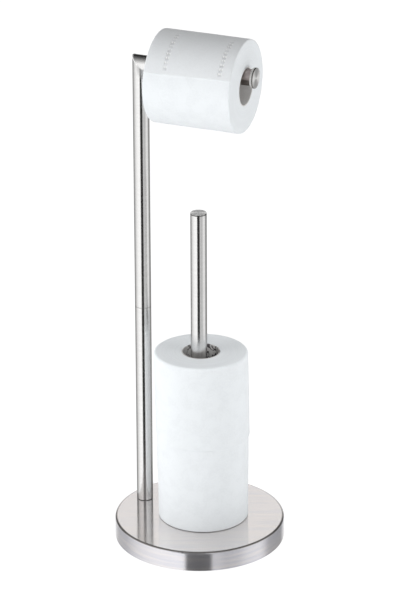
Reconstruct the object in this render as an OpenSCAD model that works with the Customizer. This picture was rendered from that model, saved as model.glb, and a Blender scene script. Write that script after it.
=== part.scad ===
// Freestanding toilet paper holder: a heavy round base, a main post with a mitred arm
// for the roll in use, and a shorter straight post that stores two spare rolls.
// Origin: centre of the base on the floor. +Z is up and the arm points along +X.
// The arm is turned a little from the line between the two posts.

/* [Base] */
// Diameter of the round base cover
base_d = 200; // [180:1:240]
// Height of the base, from the floor to the top face of the cover
base_h = 25; // [20:0.5:36]
// Radius of the cover's rounded top edge
base_edge_r = 2.5; // [2:0.1:4]
// Thickness of the cover's sheet steel
cover_t = 1; // [0.6:0.1:1.4]
// Gap between the floor and the lower rim of the cover
cover_lift = 0.8; // [0.4:0.1:1.5]

/* [Base weight] */
// Thickness of the weight's web, which the posts are bolted to
web_t = 8; // [5:0.5:12]
// Width of the rim that runs round under the web
weight_rim_w = 14; // [8:1:30]
// Gap between the weight and the cover's side wall
weight_gap = 0.5; // [0.2:0.1:1.5]
// Width of the bevel on the weight's edges
weight_bevel = 1.5; // [0.5:0.1:2]

/* [Foot pad] */
// Thickness of the soft pad that the base stands on
pad_t = 2; // [1.8:0.1:3]
// Distance from the cover's side to the edge of the pad
pad_inset = 4; // [2:0.5:6]
// Diameter of the two holes in the pad, through which the bolts are reached
pad_hole_d = 26; // [20:1:30]

/* [Main post] */
// Outside diameter of the post and arm tubes
tube_d = 19; // [17:0.5:22]
// Wall thickness of the tubes
tube_wall = 1; // [0.8:0.1:1.4]
// Distance from the side of the base to the main post's axis
post_inset = 21.1; // [20:0.1:24]
// Angle, in degrees, between the arm and the line from the main post to the spare post
arm_turn = 12.5; // [0:0.5:20]
// Height of the seam between the two sections of the main post
seam_z = 276; // [200:1:330]
// Height of the arm's axis above the floor
arm_z = 577.5; // [565:0.5:700]

/* [Arm] */
// Room between the far end of the hanging roll and the stop ring
roll_room = 8; // [5:0.1:24]
// Diameter of the stop ring at the arm's end
stop_d = 24; // [22.5:0.5:30]
// Width of the stop ring, along the arm
stop_w = 2.8; // [2:0.1:5]
// Thickness of the disc that closes a tube's end
cap_disc_t = 1.2; // [0.8:0.1:2]
// Length of a cap's spigot inside the tube
cap_spigot_len = 9; // [6:0.5:14]

/* [Spare post] */
// Height of the spare post's top above the floor
spare_z = 411; // [380:1:430]

/* [Fastening] */
// Thread diameter of the bolts that hold the posts
bolt_d = 6; // [5:1:8]
// Length of the bolts under the head
bolt_len = 22; // [20:1:26]
// Diameter of the bolt heads
bolt_head_d = 11; // [9.5:0.5:13]
// Height of the bolt heads
bolt_head_h = 3.5; // [3:0.1:4]
// Width across the flats of the socket in a bolt head
bolt_socket_w = 4; // [3:0.5:5]
// Outside diameter of the washers
washer_d = 14; // [13.5:0.5:18]
// Thickness of the washers
washer_t = 1.2; // [0.8:0.1:1.6]
// Room that the weight leaves round a washer
washer_room = 6; // [1:0.5:8]
// Length of the threaded plugs in the tube ends
plug_len = 16; // [15:1:22]
// Thread diameter of the stud that joins the two post sections
stud_d = 8; // [6:1:10]
// Length of the stud
stud_len = 24; // [18:1:28]
// Thickness of the gaskets under the posts
gasket_t = 0.6; // [0.3:0.1:1]
// Width of the gaskets' ring
gasket_w = 4; // [2:0.5:5]

/* [Paper rolls] */
// Outside diameter of a full roll
roll_d = 108; // [96:1:112]
// Width of a roll
roll_w = 105; // [98:1:105]
// Inside diameter of the cardboard core
core_bore_d = 43; // [38:0.5:46]
// Wall thickness of the cardboard core
core_wall = 1; // [0.6:0.1:1.5]
// Radius of the soft edges of the wound paper
paper_edge_r = 3; // [0.5:0.1:4]
// Distance from the main post's axis to the near end of the hanging roll
roll_start = 23.8; // [20:0.1:24]
// How far the spare rolls stand off the spare post's axis towards the arm's end
spare_shift_x = 2; // [0:0.5:5]
// How far the spare rolls stand off the spare post's axis towards the back
spare_shift_y = 4; // [0:0.5:5]

/* [Hidden] */
$fn = 96;

// How far a cutting shape runs past the face that it cuts
over = 1;
// Gap round a part that is seated in or on another one
seat_gap = 0.05;
// Gap between the soft paper or its core and what carries it
rest_gap = 0.3;
// Play of a bolt or stud in a plain hole
hole_play = 0.3;
// Bevel on the ends of tubes, rings and discs
end_bevel = 0.3;
// Depth that the threaded plugs are set back inside a joint
joint_setback = 0.2;
// Depth of the socket in a bolt head, as a share of the head's height
socket_depth_share = 0.55;
// Width and depth of the fine groove between a cap's disc and what it sits on
groove = 0.3;

base_r = base_d / 2;
tube_r = tube_d / 2;
tube_bore_r = tube_r - tube_wall;
cover_under_z = base_h - cover_t;
weight_r = base_r - cover_t - weight_gap;
weight_top_z = cover_under_z;
web_under_z = weight_top_z - web_t;
washer_under_z = web_under_z - washer_t;
post_foot_z = base_h + gasket_t;
core_bore_r = core_bore_d / 2;
core_r = core_bore_r + core_wall;
paper_bore_r = core_r + seat_gap;
roll_r = roll_d / 2;
post_span = base_r - post_inset;
post_x = post_span * cos(arm_turn);
post_y = post_span * sin(arm_turn);
stop_start = roll_start + roll_w + roll_room;
arm_len = stop_start + stop_w;
hanging_drop = tube_r + rest_gap - core_bore_r;
lower_spare_z = base_h + rest_gap;
upper_spare_z = lower_spare_z + roll_w + rest_gap;

steel = [0.78, 0.77, 0.75];
bright_steel = [0.84, 0.83, 0.81];
zinc = [0.66, 0.67, 0.69];
iron = [0.28, 0.28, 0.29];
pad_black = [0.12, 0.12, 0.13];
card = [0.62, 0.54, 0.45];
paper = [0.95, 0.95, 0.96];

// Puts its children on the main post's axis, at the given height
module on_main_post(z) {
    translate([-post_x, post_y, z]) children();
}

// Puts its children on the arm's axis, at the given distance from the main post, and lays
// what stood upright along the arm
module along_arm(distance) {
    translate([distance - post_x, post_y, arm_z])
        rotate([0, 90, 0]) children();
}

// Draws its children at the foot of the main post and again at the foot of the spare post
module at_both_posts() {
    on_main_post(0) children();
    children();
}

// A flat ring, with its lower face at height zero
module ring(r_out, r_in, h) {
    difference() {
        cylinder(r = r_out, h = h);
        translate([0, 0, -over]) cylinder(r = r_in, h = h + 2 * over);
    }
}

// A tube whose outer edges are bevelled at both ends
module bevelled_ring(r_out, r_in, h, bevel) {
    rotate_extrude()
        polygon([
            [r_in, 0], [r_out - bevel, 0], [r_out, bevel],
            [r_out, h - bevel], [r_out - bevel, h], [r_in, h]
        ]);
}

// Half outline of a round block from the floor up, with a rounded top edge
module rounded_top_outline(r, h, edge_r) {
    square([r, h - edge_r]);
    square([r - edge_r, h]);
    translate([r - edge_r, h - edge_r]) circle(r = edge_r);
}

// Pressed steel cover: a flat top with a rounded edge and a plain side wall
module base_cover() {
    color(steel)
        difference() {
            rotate_extrude()
                difference() {
                    rounded_top_outline(base_r, base_h, base_edge_r);
                    rounded_top_outline(base_r - cover_t, cover_under_z, base_edge_r - cover_t);
                    translate([0, -over]) square([base_r + over, cover_lift + over]);
                }
            at_both_posts()
                translate([0, 0, cover_under_z - over])
                    cylinder(r = bolt_d / 2 + hole_play, h = cover_t + 2 * over);
        }
}

// Cast weight: a web under the cover's top, with a rim that stands on the pad. The rim is
// cut back round the main post's washer, so that the key reaches its bolt.
module base_weight() {
    rim_in_r = weight_r - weight_rim_w;
    corner = max(weight_bevel, base_edge_r - cover_t);
    color(iron)
        difference() {
            rotate_extrude()
                polygon([
                    [0, web_under_z], [rim_in_r - weight_bevel, web_under_z],
                    [rim_in_r, web_under_z - weight_bevel], [rim_in_r, pad_t],
                    [weight_r - weight_bevel, pad_t], [weight_r, pad_t + weight_bevel],
                    [weight_r, weight_top_z - corner], [weight_r - corner, weight_top_z],
                    [0, weight_top_z]
                ]);
            at_both_posts() {
                translate([0, 0, web_under_z - over])
                    cylinder(r = bolt_d / 2 + hole_play, h = web_t + 2 * over);
                translate([0, 0, -over])
                    cylinder(r = washer_d / 2 + washer_room, h = web_under_z + over);
            }
        }
}

// Soft pad under the weight's rim, with a hole below each bolt
module foot_pad() {
    color(pad_black)
        difference() {
            bevelled_ring(base_r - pad_inset, 0, pad_t, end_bevel);
            at_both_posts()
                translate([0, 0, -over])
                    cylinder(r = pad_hole_d / 2, h = pad_t + 2 * over);
        }
}

// Two bolts, put in from below, that pull the posts down on the cover
module post_bolts() {
    socket_depth = bolt_head_h * socket_depth_share;
    color(zinc)
        at_both_posts()
            translate([0, 0, washer_under_z])
                difference() {
                    union() {
                        translate([0, 0, -end_bevel])
                            cylinder(r = bolt_d / 2, h = bolt_len + end_bevel);
                        translate([0, 0, -bolt_head_h])
                            bevelled_ring(bolt_head_d / 2, 0, bolt_head_h, end_bevel);
                    }
                    translate([0, 0, -bolt_head_h - over])
                        cylinder(d = bolt_socket_w / cos(30), h = socket_depth + over, $fn = 6);
                }
}

// Washers between the bolt heads and the weight
module bolt_washers() {
    color(zinc)
        at_both_posts()
            translate([0, 0, washer_under_z])
                ring(washer_d / 2, bolt_d / 2 + hole_play, washer_t);
}

// Thin rings that keep the post ends from marking the cover
module post_gaskets() {
    color(pad_black)
        at_both_posts()
            translate([0, 0, base_h])
                ring(tube_r - end_bevel, tube_r - gasket_w, gasket_t);
}

// Threaded plug that fills a tube's end. Its hole runs right through.
module threaded_plug(hole_d) {
    bevelled_ring(tube_bore_r - seat_gap, hole_d / 2 + seat_gap, plug_len, end_bevel);
}

// Upright tube with bevelled ends
module straight_tube(length) {
    bevelled_ring(tube_r, tube_bore_r, length, end_bevel);
}

// Lower section of the main post
module lower_post_tube() {
    color(steel)
        on_main_post(post_foot_z)
            straight_tube(seam_z - post_foot_z);
}

// Plug in the foot of the main post, which takes one of the bolts
module main_foot_plug() {
    color(zinc)
        on_main_post(post_foot_z)
            threaded_plug(bolt_d);
}

// Plug in the top of the lower section, which takes half of the stud
module lower_joint_plug() {
    color(zinc)
        on_main_post(seam_z - joint_setback - plug_len)
            threaded_plug(stud_d);
}

// Stud that screws the two sections of the main post together
module joint_stud() {
    color(zinc)
        on_main_post(seam_z - stud_len / 2)
            bevelled_ring(stud_d / 2, 0, stud_len, end_bevel);
}

// Plug in the foot of the upper section, which takes the other half of the stud
module upper_joint_plug() {
    color(zinc)
        on_main_post(seam_z + joint_setback)
            threaded_plug(stud_d);
}

// Block that fills the arm's side or the post's side of the mitre, which runs at
// 45 degrees through the corner
module mitre_side(arm_side) {
    on_main_post(arm_z)
        rotate([0, 45, 0])
            translate([-arm_len / 2, -arm_len / 2, arm_side ? 0 : -arm_len])
                cube(arm_len);
}

// Upper section of the main post, cut at 45 degrees to meet the arm
module upper_post_tube() {
    color(steel)
        difference() {
            on_main_post(seam_z)
                straight_tube(arm_z - seam_z + tube_d);
            mitre_side(true);
        }
}

// Level arm, cut at 45 degrees to meet the post
module arm_tube() {
    color(steel)
        difference() {
            along_arm(-tube_d)
                straight_tube(arm_len + tube_d);
            mitre_side(false);
        }
}

// Ring round the arm's end, which keeps the roll on
module arm_stop_ring() {
    color(bright_steel)
        along_arm(stop_start)
            bevelled_ring(stop_d / 2, tube_r + seat_gap, stop_w, end_bevel);
}

// Disc with a spigot below it. The disc's lower face is at height zero.
module tube_cap(disc_r) {
    rotate_extrude()
        polygon([
            [0, -cap_spigot_len], [tube_bore_r - seat_gap - end_bevel, -cap_spigot_len],
            [tube_bore_r - seat_gap, end_bevel - cap_spigot_len], [tube_bore_r - seat_gap, 0],
            [disc_r - groove, 0], [disc_r - groove, groove], [disc_r, groove],
            [disc_r, cap_disc_t - end_bevel], [disc_r - end_bevel, cap_disc_t], [0, cap_disc_t]
        ]);
}

// Round face of the arm's end
module arm_end_cap() {
    color(bright_steel)
        along_arm(arm_len)
            tube_cap(stop_d / 2);
}

// Straight post for the spare rolls
module spare_post_tube() {
    color(steel)
        translate([0, 0, post_foot_z])
            straight_tube(spare_z - cap_disc_t - post_foot_z);
}

// Plug in the foot of the spare post, which takes the other bolt
module spare_foot_plug() {
    color(zinc)
        translate([0, 0, post_foot_z])
            threaded_plug(bolt_d);
}

// Flat cap on top of the spare post
module spare_post_cap() {
    color(bright_steel)
        translate([0, 0, spare_z - cap_disc_t])
            tube_cap(tube_r);
}

// Cardboard core of a roll, standing at height zero
module roll_core() {
    color(card)
        ring(core_r, core_bore_r, roll_w);
}

// Wound paper of a roll, a thick ring with soft edges
module roll_paper() {
    color(paper)
        rotate_extrude() {
            translate([paper_bore_r, paper_edge_r])
                square([roll_r - paper_bore_r, roll_w - 2 * paper_edge_r]);
            translate([paper_bore_r, 0])
                square([roll_r - paper_edge_r - paper_bore_r, roll_w]);
            for (z = [paper_edge_r, roll_w - paper_edge_r])
                translate([roll_r - paper_edge_r, z]) circle(r = paper_edge_r);
        }
}

// Lays a roll along the arm, with its core hung on the arm tube
module on_arm() {
    translate([0, 0, hanging_drop])
        along_arm(roll_start) children();
}

// Roll in use
module hanging_core() {
    on_arm() roll_core();
}
module hanging_paper() {
    on_arm() roll_paper();
}

// Stands a roll round the spare post at the given height
module on_spare_post(z) {
    translate([spare_shift_x, spare_shift_y, z]) children();
}

// Lower spare roll, which stands on the base
module lower_spare_core() {
    on_spare_post(lower_spare_z) roll_core();
}
module lower_spare_paper() {
    on_spare_post(lower_spare_z) roll_paper();
}

// Upper spare roll, which stands on the lower one
module upper_spare_core() {
    on_spare_post(upper_spare_z) roll_core();
}
module upper_spare_paper() {
    on_spare_post(upper_spare_z) roll_paper();
}

base_cover();
base_weight();
foot_pad();
post_bolts();
bolt_washers();
post_gaskets();
lower_post_tube();
main_foot_plug();
lower_joint_plug();
joint_stud();
upper_joint_plug();
upper_post_tube();
arm_tube();
arm_stop_ring();
arm_end_cap();
spare_post_tube();
spare_foot_plug();
spare_post_cap();
hanging_core();
hanging_paper();
lower_spare_core();
lower_spare_paper();
upper_spare_core();
upper_spare_paper();
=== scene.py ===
# Looks of the freestanding toilet paper holder: steel, wound paper and card, light and camera
import math

import bmesh
import bpy
from mathutils import Matrix, Vector


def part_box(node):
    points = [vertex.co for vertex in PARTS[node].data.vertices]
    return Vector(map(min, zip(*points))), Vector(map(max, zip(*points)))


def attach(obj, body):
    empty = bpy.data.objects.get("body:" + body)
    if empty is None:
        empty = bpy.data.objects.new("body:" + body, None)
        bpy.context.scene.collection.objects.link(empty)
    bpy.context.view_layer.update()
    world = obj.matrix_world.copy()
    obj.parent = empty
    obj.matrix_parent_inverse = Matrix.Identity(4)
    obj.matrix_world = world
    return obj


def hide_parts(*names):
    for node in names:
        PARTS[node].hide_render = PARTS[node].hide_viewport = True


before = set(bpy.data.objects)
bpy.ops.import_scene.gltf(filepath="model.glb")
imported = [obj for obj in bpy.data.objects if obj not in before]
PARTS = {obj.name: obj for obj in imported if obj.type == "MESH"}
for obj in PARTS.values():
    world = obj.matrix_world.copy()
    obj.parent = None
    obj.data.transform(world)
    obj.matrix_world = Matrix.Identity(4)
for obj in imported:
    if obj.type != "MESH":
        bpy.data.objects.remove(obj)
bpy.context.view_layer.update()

MM = 0.001
FULL_TURN = 2 * math.pi

# Colours
STEEL = (0.795, 0.79, 0.785)
STEEL_DARK = (0.78, 0.774, 0.768)
STEEL_LIGHT = (0.81, 0.806, 0.80)
BASE_TOP = (0.845, 0.802, 0.782)
BASE_SIDE_SHADE = (0.687, 0.682, 0.729)
BASE_RIM_SHADE = (0.22, 0.205, 0.195)
CORE_REFLECTION_TINT = (0.50, 0.43, 0.42)
GROOVE_SHADE = (0.10, 0.095, 0.09)
PAPER = (0.872, 0.905, 0.928)
PAPER_SHADE = (0.81, 0.84, 0.862)
TOP_SHEET_SHADE = (0.775, 0.79, 0.805)
PRESSED_HIGHLIGHT = (0.985, 0.99, 0.99)
BETWEEN_BARS_SHADE = (0.50, 0.51, 0.53)
CARD_DARK = (0.72, 0.705, 0.69)
CARD_LIGHT = (0.90, 0.895, 0.885)
CARD_FOLD_SHADE = (0.09, 0.085, 0.09)
ARM_UNDERSIDE_SHADE = (0.20, 0.18, 0.165)
WELD_HIGHLIGHT_PALE = (0.95, 0.945, 0.94)
RING_SIDE_SHADE = (0.60, 0.57, 0.54)
FAN_HIGHLIGHT = (1.0, 0.995, 0.985)
FAN_SHADE = (0.53, 0.525, 0.52)
EDGE_TINT = (0.35, 0.35, 0.35, 1.0)
ZINC = (0.62, 0.64, 0.67)
ZINC_DARK = (0.55, 0.57, 0.60)
ZINC_LIGHT = (0.68, 0.69, 0.71)
IRON = (0.03, 0.03, 0.032)
IRON_CLEAN = (0.022, 0.022, 0.024)
IRON_DUSTY = (0.075, 0.073, 0.07)
RUBBER = (0.025, 0.025, 0.027)
RUBBER_CLEAN = (0.018, 0.018, 0.02)
RUBBER_DUSTY = (0.06, 0.058, 0.055)

# The photograph's view, fitted to its edges: place, then yaw, pitch and roll, then lens
VIEW_PLACE = (1.513216, -3.794757, 2.085412)
VIEW_TURNS = tuple(math.radians(a) for a in (21.71312, -23.59426, -0.21729))
VIEW_PIXELS = 3850.4676
VIEW_TALL = 601
TOWARD_VIEW = (math.sin(VIEW_TURNS[0]), -math.cos(VIEW_TURNS[0]), 0.0)
RIGHT_OF_VIEW = Vector((-TOWARD_VIEW[1], TOWARD_VIEW[0], 0))

# The arm's end inside the core, which is rubbed duller and painted with the brown reflection of
# the core: where it begins and is full, before the stop ring, and how softly the painted shade
# on its underside turns dark below
RUB_AND_REFLECTION_START = 15 * MM
RUB_AND_REFLECTION_FULL = 9 * MM
UNDERSIDE_FADE = 0.8 * MM

# The hand-ground patch in the mitre's inner corner: how far from the weld it ends and is full,
# and how far it reaches to the side
GRIND_END = 16 * MM
GRIND_FULL = 5 * MM
GRIND_SIDE = 3 * MM

# Turned faces: how far inside the rim the face begins and is full, how far the painted groove
# shade lies above the seam and how soft it is, and how far the painted fans of highlight and
# shade are turned
FACE_START = 0.3 * MM
FACE_FULL = 0.6 * MM
GROOVE_RISE = 0.4 * MM
GROOVE_FADE = 0.1 * MM
FAN_TURN = math.radians(30)

# The base's pressed edge, measured down from the top and in from the side: where the top's
# colour gives way to the painted side, and where the line of painted shade lies
TOP_START = 2.0 * MM
TOP_FULL = 0.4 * MM
RIM_LOW = 1.6 * MM
RIM_HIGH = 1.2 * MM
RIM_IN = 2.9 * MM
RIM_OUT = 2.3 * MM

# The mitre's weld line: its radius and how far it is sunk, and the points round a drawn ring
WELD_LINE_R = 0.9 * MM
WELD_SUNK = 0.68 * MM
RING_POINTS = 96

# Wound paper: its radius, what shows as a layer and as a band on an end, and the ring round the
# core that is painted pale as a highlight on the hole's edge. Below FLAT_EDGE an end's edge is
# pressed flat
ROLL_R = 54 * MM
LAYER = 0.42 * MM
BAND = 1.5 * MM
CORE_RIM_HIGHLIGHT = (24.2 * MM, 23.0 * MM)
FLAT_EDGE = 0.5 * MM
END_ROWS = 26
SWEEP_SHARE = 0.7

# Cores: wall, height of one turn of the strip, gap to the paper, and how far behind the axis
# the folds and the shade painted in them are full
CORE_WALL = 1 * MM
CORE_LEAD = 62 * MM
CORE_GAP = 0.05 * MM
FOLD_SIDE = 10 * MM

# The two tracks pressed into the roll in use: heights, half the width of their close rows with
# and without a guard row, and the plain line along their middle
TRACKS = (25 * MM, 91 * MM)
TRACK_HALF = 2.6 * MM
TRACK_GUARD = 3.0 * MM
PLAIN_LINE = (0.2 * MM, 0.7 * MM)

# The way in which the spare rolls were squeezed in their pack, which points at the viewer
SQUEEZED_WAY = math.atan2(TOWARD_VIEW[1], TOWARD_VIEW[0])

# Foot pad
PAD_HOLE_R = 13 * MM
PAD_SOFT_SHARE = 0.3


# Numbers and vectors in node trees

class Wire:
    """A number that flows through a node tree, so that a rule can be written as a sum"""

    def __init__(self, tree, socket):
        self.tree = tree
        self.socket = socket

    def step(self, operation, *others):
        """One step of a sum"""
        node = self.tree.nodes.new("ShaderNodeMath")
        node.operation = operation
        for slot, value in zip(node.inputs, (self, *others)):
            give(self.tree, value, slot)
        return Wire(self.tree, node.outputs[0])

    def __add__(self, other):
        return self.step("ADD", other)

    def __sub__(self, other):
        return self.step("SUBTRACT", other)

    def __mul__(self, other):
        return self.step("MULTIPLY", other)

    def __truediv__(self, other):
        return self.step("DIVIDE", other)

    def opposite(self):
        """One minus this: a mask for everywhere else"""
        return self * -1 + 1

    def ramp(self, low, high, out_low=0.0, out_high=1.0):
        """Goes smoothly from out_low at low to out_high at high. Low may be the larger one."""
        node = self.tree.nodes.new("ShaderNodeMapRange")
        node.interpolation_type = "SMOOTHSTEP"
        for slot, value in zip(node.inputs, (self, low, high, out_low, out_high)):
            give(self.tree, value, slot)
        return Wire(self.tree, node.outputs[0])


def give(tree, value, slot):
    """Feeds a wire, a socket or a plain value to an input"""
    if isinstance(value, Wire):
        tree.links.new(value.socket, slot)
    elif isinstance(value, bpy.types.NodeSocket):
        tree.links.new(value, slot)
    else:
        slot.default_value = value


def add_node(tree, kind, settings=None, **inputs):
    """A node with its settings, and with its inputs fed by name"""
    node = tree.nodes.new(kind)
    for name, value in (settings or {}).items():
        setattr(node, name, value)
    for name, value in inputs.items():
        give(tree, value, node.inputs[name.replace("_", " ")])
    return node


def split(tree, vector):
    """The x, y and z of a vector"""
    node = add_node(tree, "ShaderNodeSeparateXYZ", Vector=vector)
    return [Wire(tree, s) for s in node.outputs]


def join(tree, x, y, z):
    """A vector from its x, y and z"""
    node = add_node(tree, "ShaderNodeCombineXYZ", X=x, Y=y, Z=z)
    return node.outputs[0]


def polar(x, y):
    """How far a place is from the axis, and its angle round it"""
    return (x * x + y * y).step("SQRT"), y.step("ARCTAN2", x)


def enlarge(tree, vector, factor):
    """A vector made longer, so that noise read there comes out finer"""
    node = tree.nodes.new("ShaderNodeVectorMath")
    node.operation = "SCALE"
    give(tree, vector, node.inputs[0])
    give(tree, factor, node.inputs["Scale"])
    return node.outputs[0]


def noise(tree, vector, w=None, scale=1.0, detail=2.0, rough=0.5):
    """Noise in space, or in space and one more coordinate w"""
    settings = {"noise_dimensions": "3D" if w is None else "4D"}
    node = add_node(tree, "ShaderNodeTexNoise", settings, Vector=vector, Scale=scale,
                    Detail=detail, Roughness=rough)
    if w is not None:
        give(tree, w, node.inputs["W"])
    return Wire(tree, node.outputs[0])


def new_group(name, kind, sockets):
    """A node group with named inputs and outputs. Returns it with its input and output nodes."""
    group = bpy.data.node_groups.new(name, kind)
    for title, way, socket_type, value in sockets:
        socket = group.interface.new_socket(name=title, in_out=way, socket_type=socket_type)
        if value is not None:
            socket.default_value = value
    return group, group.nodes.new("NodeGroupInput"), group.nodes.new("NodeGroupOutput")


FLOAT = "NodeSocketFloat"
VECTOR = "NodeSocketVector"
GEOMETRY = "NodeSocketGeometry"


# Surface effects that several finishes share

def make_brush_marks():
    """Fine parallel scratches. Across is the place measured across the scratches."""
    group, start, end = new_group("brush_marks", "ShaderNodeTree", [
        ("Place", "INPUT", VECTOR, None),
        ("Across", "INPUT", FLOAT, 0.0),
        ("Spacing", "INPUT", FLOAT, 0.4 * MM),
        ("Run", "INPUT", FLOAT, 30.0),
        ("Height", "OUTPUT", FLOAT, None),
        ("Tone", "OUTPUT", FLOAT, None),
    ])
    place = enlarge(group, start.outputs["Place"], start.outputs["Run"])
    line = Wire(group, start.outputs["Across"]) / Wire(group, start.outputs["Spacing"])
    fine = noise(group, place, line, detail=3.0, rough=0.6)
    coarse = noise(group, place, line * 0.13, detail=2.0)
    give(group, fine * 0.65 + coarse * 0.35, end.inputs["Height"])
    give(group, coarse.ramp(0.3, 0.7), end.inputs["Tone"])
    return group


def make_handling_film():
    """Faint patches where the surface was touched or holds a little dust"""
    group, start, end = new_group("handling_film", "ShaderNodeTree", [
        ("Place", "INPUT", VECTOR, None),
        ("Patch size", "INPUT", FLOAT, 0.03),
        ("Amount", "INPUT", FLOAT, 0.5),
        ("Film", "OUTPUT", FLOAT, None),
    ])
    size = Wire(group, start.outputs["Patch size"])
    place = enlarge(group, start.outputs["Place"], size.step("POWER", -1))
    broad = noise(group, place, detail=4.0, rough=0.55).ramp(0.42, 0.68)
    specks = noise(group, place, scale=23.0, detail=1.0).ramp(0.62, 0.75)
    film = (broad * 0.8 + specks * 0.2) * Wire(group, start.outputs["Amount"])
    give(group, film, end.inputs["Film"])
    return group


def make_crepe():
    """The crepe and fibre clumps of soft tissue. Around is the place round the roll."""
    group, start, end = new_group("crepe", "ShaderNodeTree", [
        ("Place", "INPUT", VECTOR, None),
        ("Around", "INPUT", FLOAT, 0.0),
        ("Crepe spacing", "INPUT", FLOAT, 0.5 * MM),
        ("Height", "OUTPUT", FLOAT, None),
        ("Clumps", "OUTPUT", FLOAT, None),
    ])
    spacing = Wire(group, start.outputs["Crepe spacing"])
    place = start.outputs["Place"]
    waves = noise(group, enlarge(group, place, 110.0),
                  Wire(group, start.outputs["Around"]) / spacing, detail=2.0, rough=0.6)
    clumps = noise(group, enlarge(group, place, 480.0), detail=3.0, rough=0.6)
    give(group, waves * 0.6 + clumps * 0.4, end.inputs["Height"])
    give(group, clumps.ramp(0.3, 0.7), end.inputs["Clumps"])
    return group


BRUSH_MARKS = make_brush_marks()
HANDLING_FILM = make_handling_film()
CREPE = make_crepe()


# Finishes

class Finish:
    """A material under way: its tree, its shader and the object's own coordinates"""

    def __init__(self, name, base, roughness, metallic=0.0, **constants):
        self.material = bpy.data.materials.new(name)
        self.material.use_nodes = True
        self.tree = self.material.node_tree
        self.shader = self.tree.nodes["Principled BSDF"]
        self.shader.inputs["Base Color"].default_value = (*base, 1.0)
        self.shader.inputs["Roughness"].default_value = roughness
        self.shader.inputs["Metallic"].default_value = metallic
        for socket, value in constants.items():
            self.shader.inputs[socket.replace("_", " ")].default_value = value
        self.place = self.tree.nodes.new("ShaderNodeTexCoord").outputs["Object"]
        self.material.diffuse_color = (*base, 1.0)

    def group(self, tree, **inputs):
        """Places a shared effect in this material"""
        return add_node(self.tree, "ShaderNodeGroup", {"node_tree": tree}, **inputs)

    def brush(self, across, **inputs):
        """Fine scratches. Returns their height and their tone."""
        marks = self.group(BRUSH_MARKS, Place=self.place, Across=across, **inputs)
        return marks.outputs["Height"], Wire(self.tree, marks.outputs["Tone"])

    def film(self, amount, **inputs):
        """The film that handling leaves"""
        film = self.group(HANDLING_FILM, **{"Place": self.place, "Amount": amount, **inputs})
        return Wire(self.tree, film.outputs["Film"])

    def mark(self, name):
        """A mask that the piece's own mesh holds"""
        node = add_node(self.tree, "ShaderNodeAttribute", {"attribute_name": name})
        return Wire(self.tree, node.outputs["Fac"])

    def blend(self, mask, below, colour):
        """Base colour that runs from below to another colour with the mask"""
        mix = add_node(self.tree, "ShaderNodeMix", {"data_type": "RGBA"})

        # Sockets 6 and 7 are the two colours, and 2 is the colour that comes out
        for slot, value in ((0, mask), (6, below), (7, (*colour, 1.0))):
            give(self.tree, value, mix.inputs[slot])
        give(self.tree, mix.outputs[2], self.shader.inputs["Base Color"])

    def tint(self, mask, dark, light):
        """Starts the base colour, from dark to light with the mask"""
        self.blend(mask, (*dark, 1.0), light)

    def tint_over(self, mask, colour):
        """Lays one more colour over the base colour where the mask is"""
        self.blend(mask, self.shader.inputs["Base Color"].links[0].from_socket, colour)

    def rough(self, value):
        """Sets how dull the surface is"""
        give(self.tree, value, self.shader.inputs["Roughness"])

    def relief(self, height, distance):
        """Raises the surface by at most distance, in metres"""
        bump = add_node(self.tree, "ShaderNodeBump", Height=height, Distance=distance)
        give(self.tree, bump.outputs[0], self.shader.inputs["Normal"])

    def stretch(self, way):
        """Stretches highlights along a direction, which lies across the fine scratches"""
        give(self.tree, way, self.shader.inputs["Tangent"])


def brushed_steel(name, axis, weld=None):
    """Satin stainless steel, brushed round an axis. Weld is the middle of a mitre, in whose
    inner corner the post was ground by hand."""
    finish = Finish(name, STEEL, 0.2, 1.0, Anisotropic=0.85, Specular_Tint=EDGE_TINT)
    tree = finish.tree
    x, _, z = split(tree, finish.place)
    along = x if axis == "X" else z
    height, tone = finish.brush(along)
    film = finish.film(0.5)
    finish.tint(tone, STEEL_DARK, STEEL_LIGHT)
    rough = film * 0.03 + tone * 0.015 + 0.19
    if axis == "X":
        # The end inside the core is rubbed duller, and the brown reflection of the core is
        # painted on it
        rub_and_core_reflection = along.ramp(ring_low.x - RUB_AND_REFLECTION_START, ring_low.x - RUB_AND_REFLECTION_FULL)
        finish.tint_over(rub_and_core_reflection, CORE_REFLECTION_TINT)
        # Painted shade on the underside of that end, where it faces the dark inside of the core
        below = z.ramp(arm_centre[2] + UNDERSIDE_FADE, arm_centre[2] - UNDERSIDE_FADE)
        finish.tint_over(rub_and_core_reflection * below, ARM_UNDERSIDE_SHADE)
        rough = rough + rub_and_core_reflection * 0.16
    if weld:
        past = (x - weld[0]) + (z - weld[2])
        inner = x.ramp(weld[0] - GRIND_SIDE, weld[0])
        rough = rough + past.ramp(-GRIND_END, -GRIND_FULL) * inner * 0.3
    finish.rough(rough)
    finish.relief(height, 0.0006 * MM)
    finish.stretch(join(tree, 1.0, 0.0, 0.0) if axis == "X" else join(tree, 0.0, 0.0, 1.0))
    return finish.material


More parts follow.
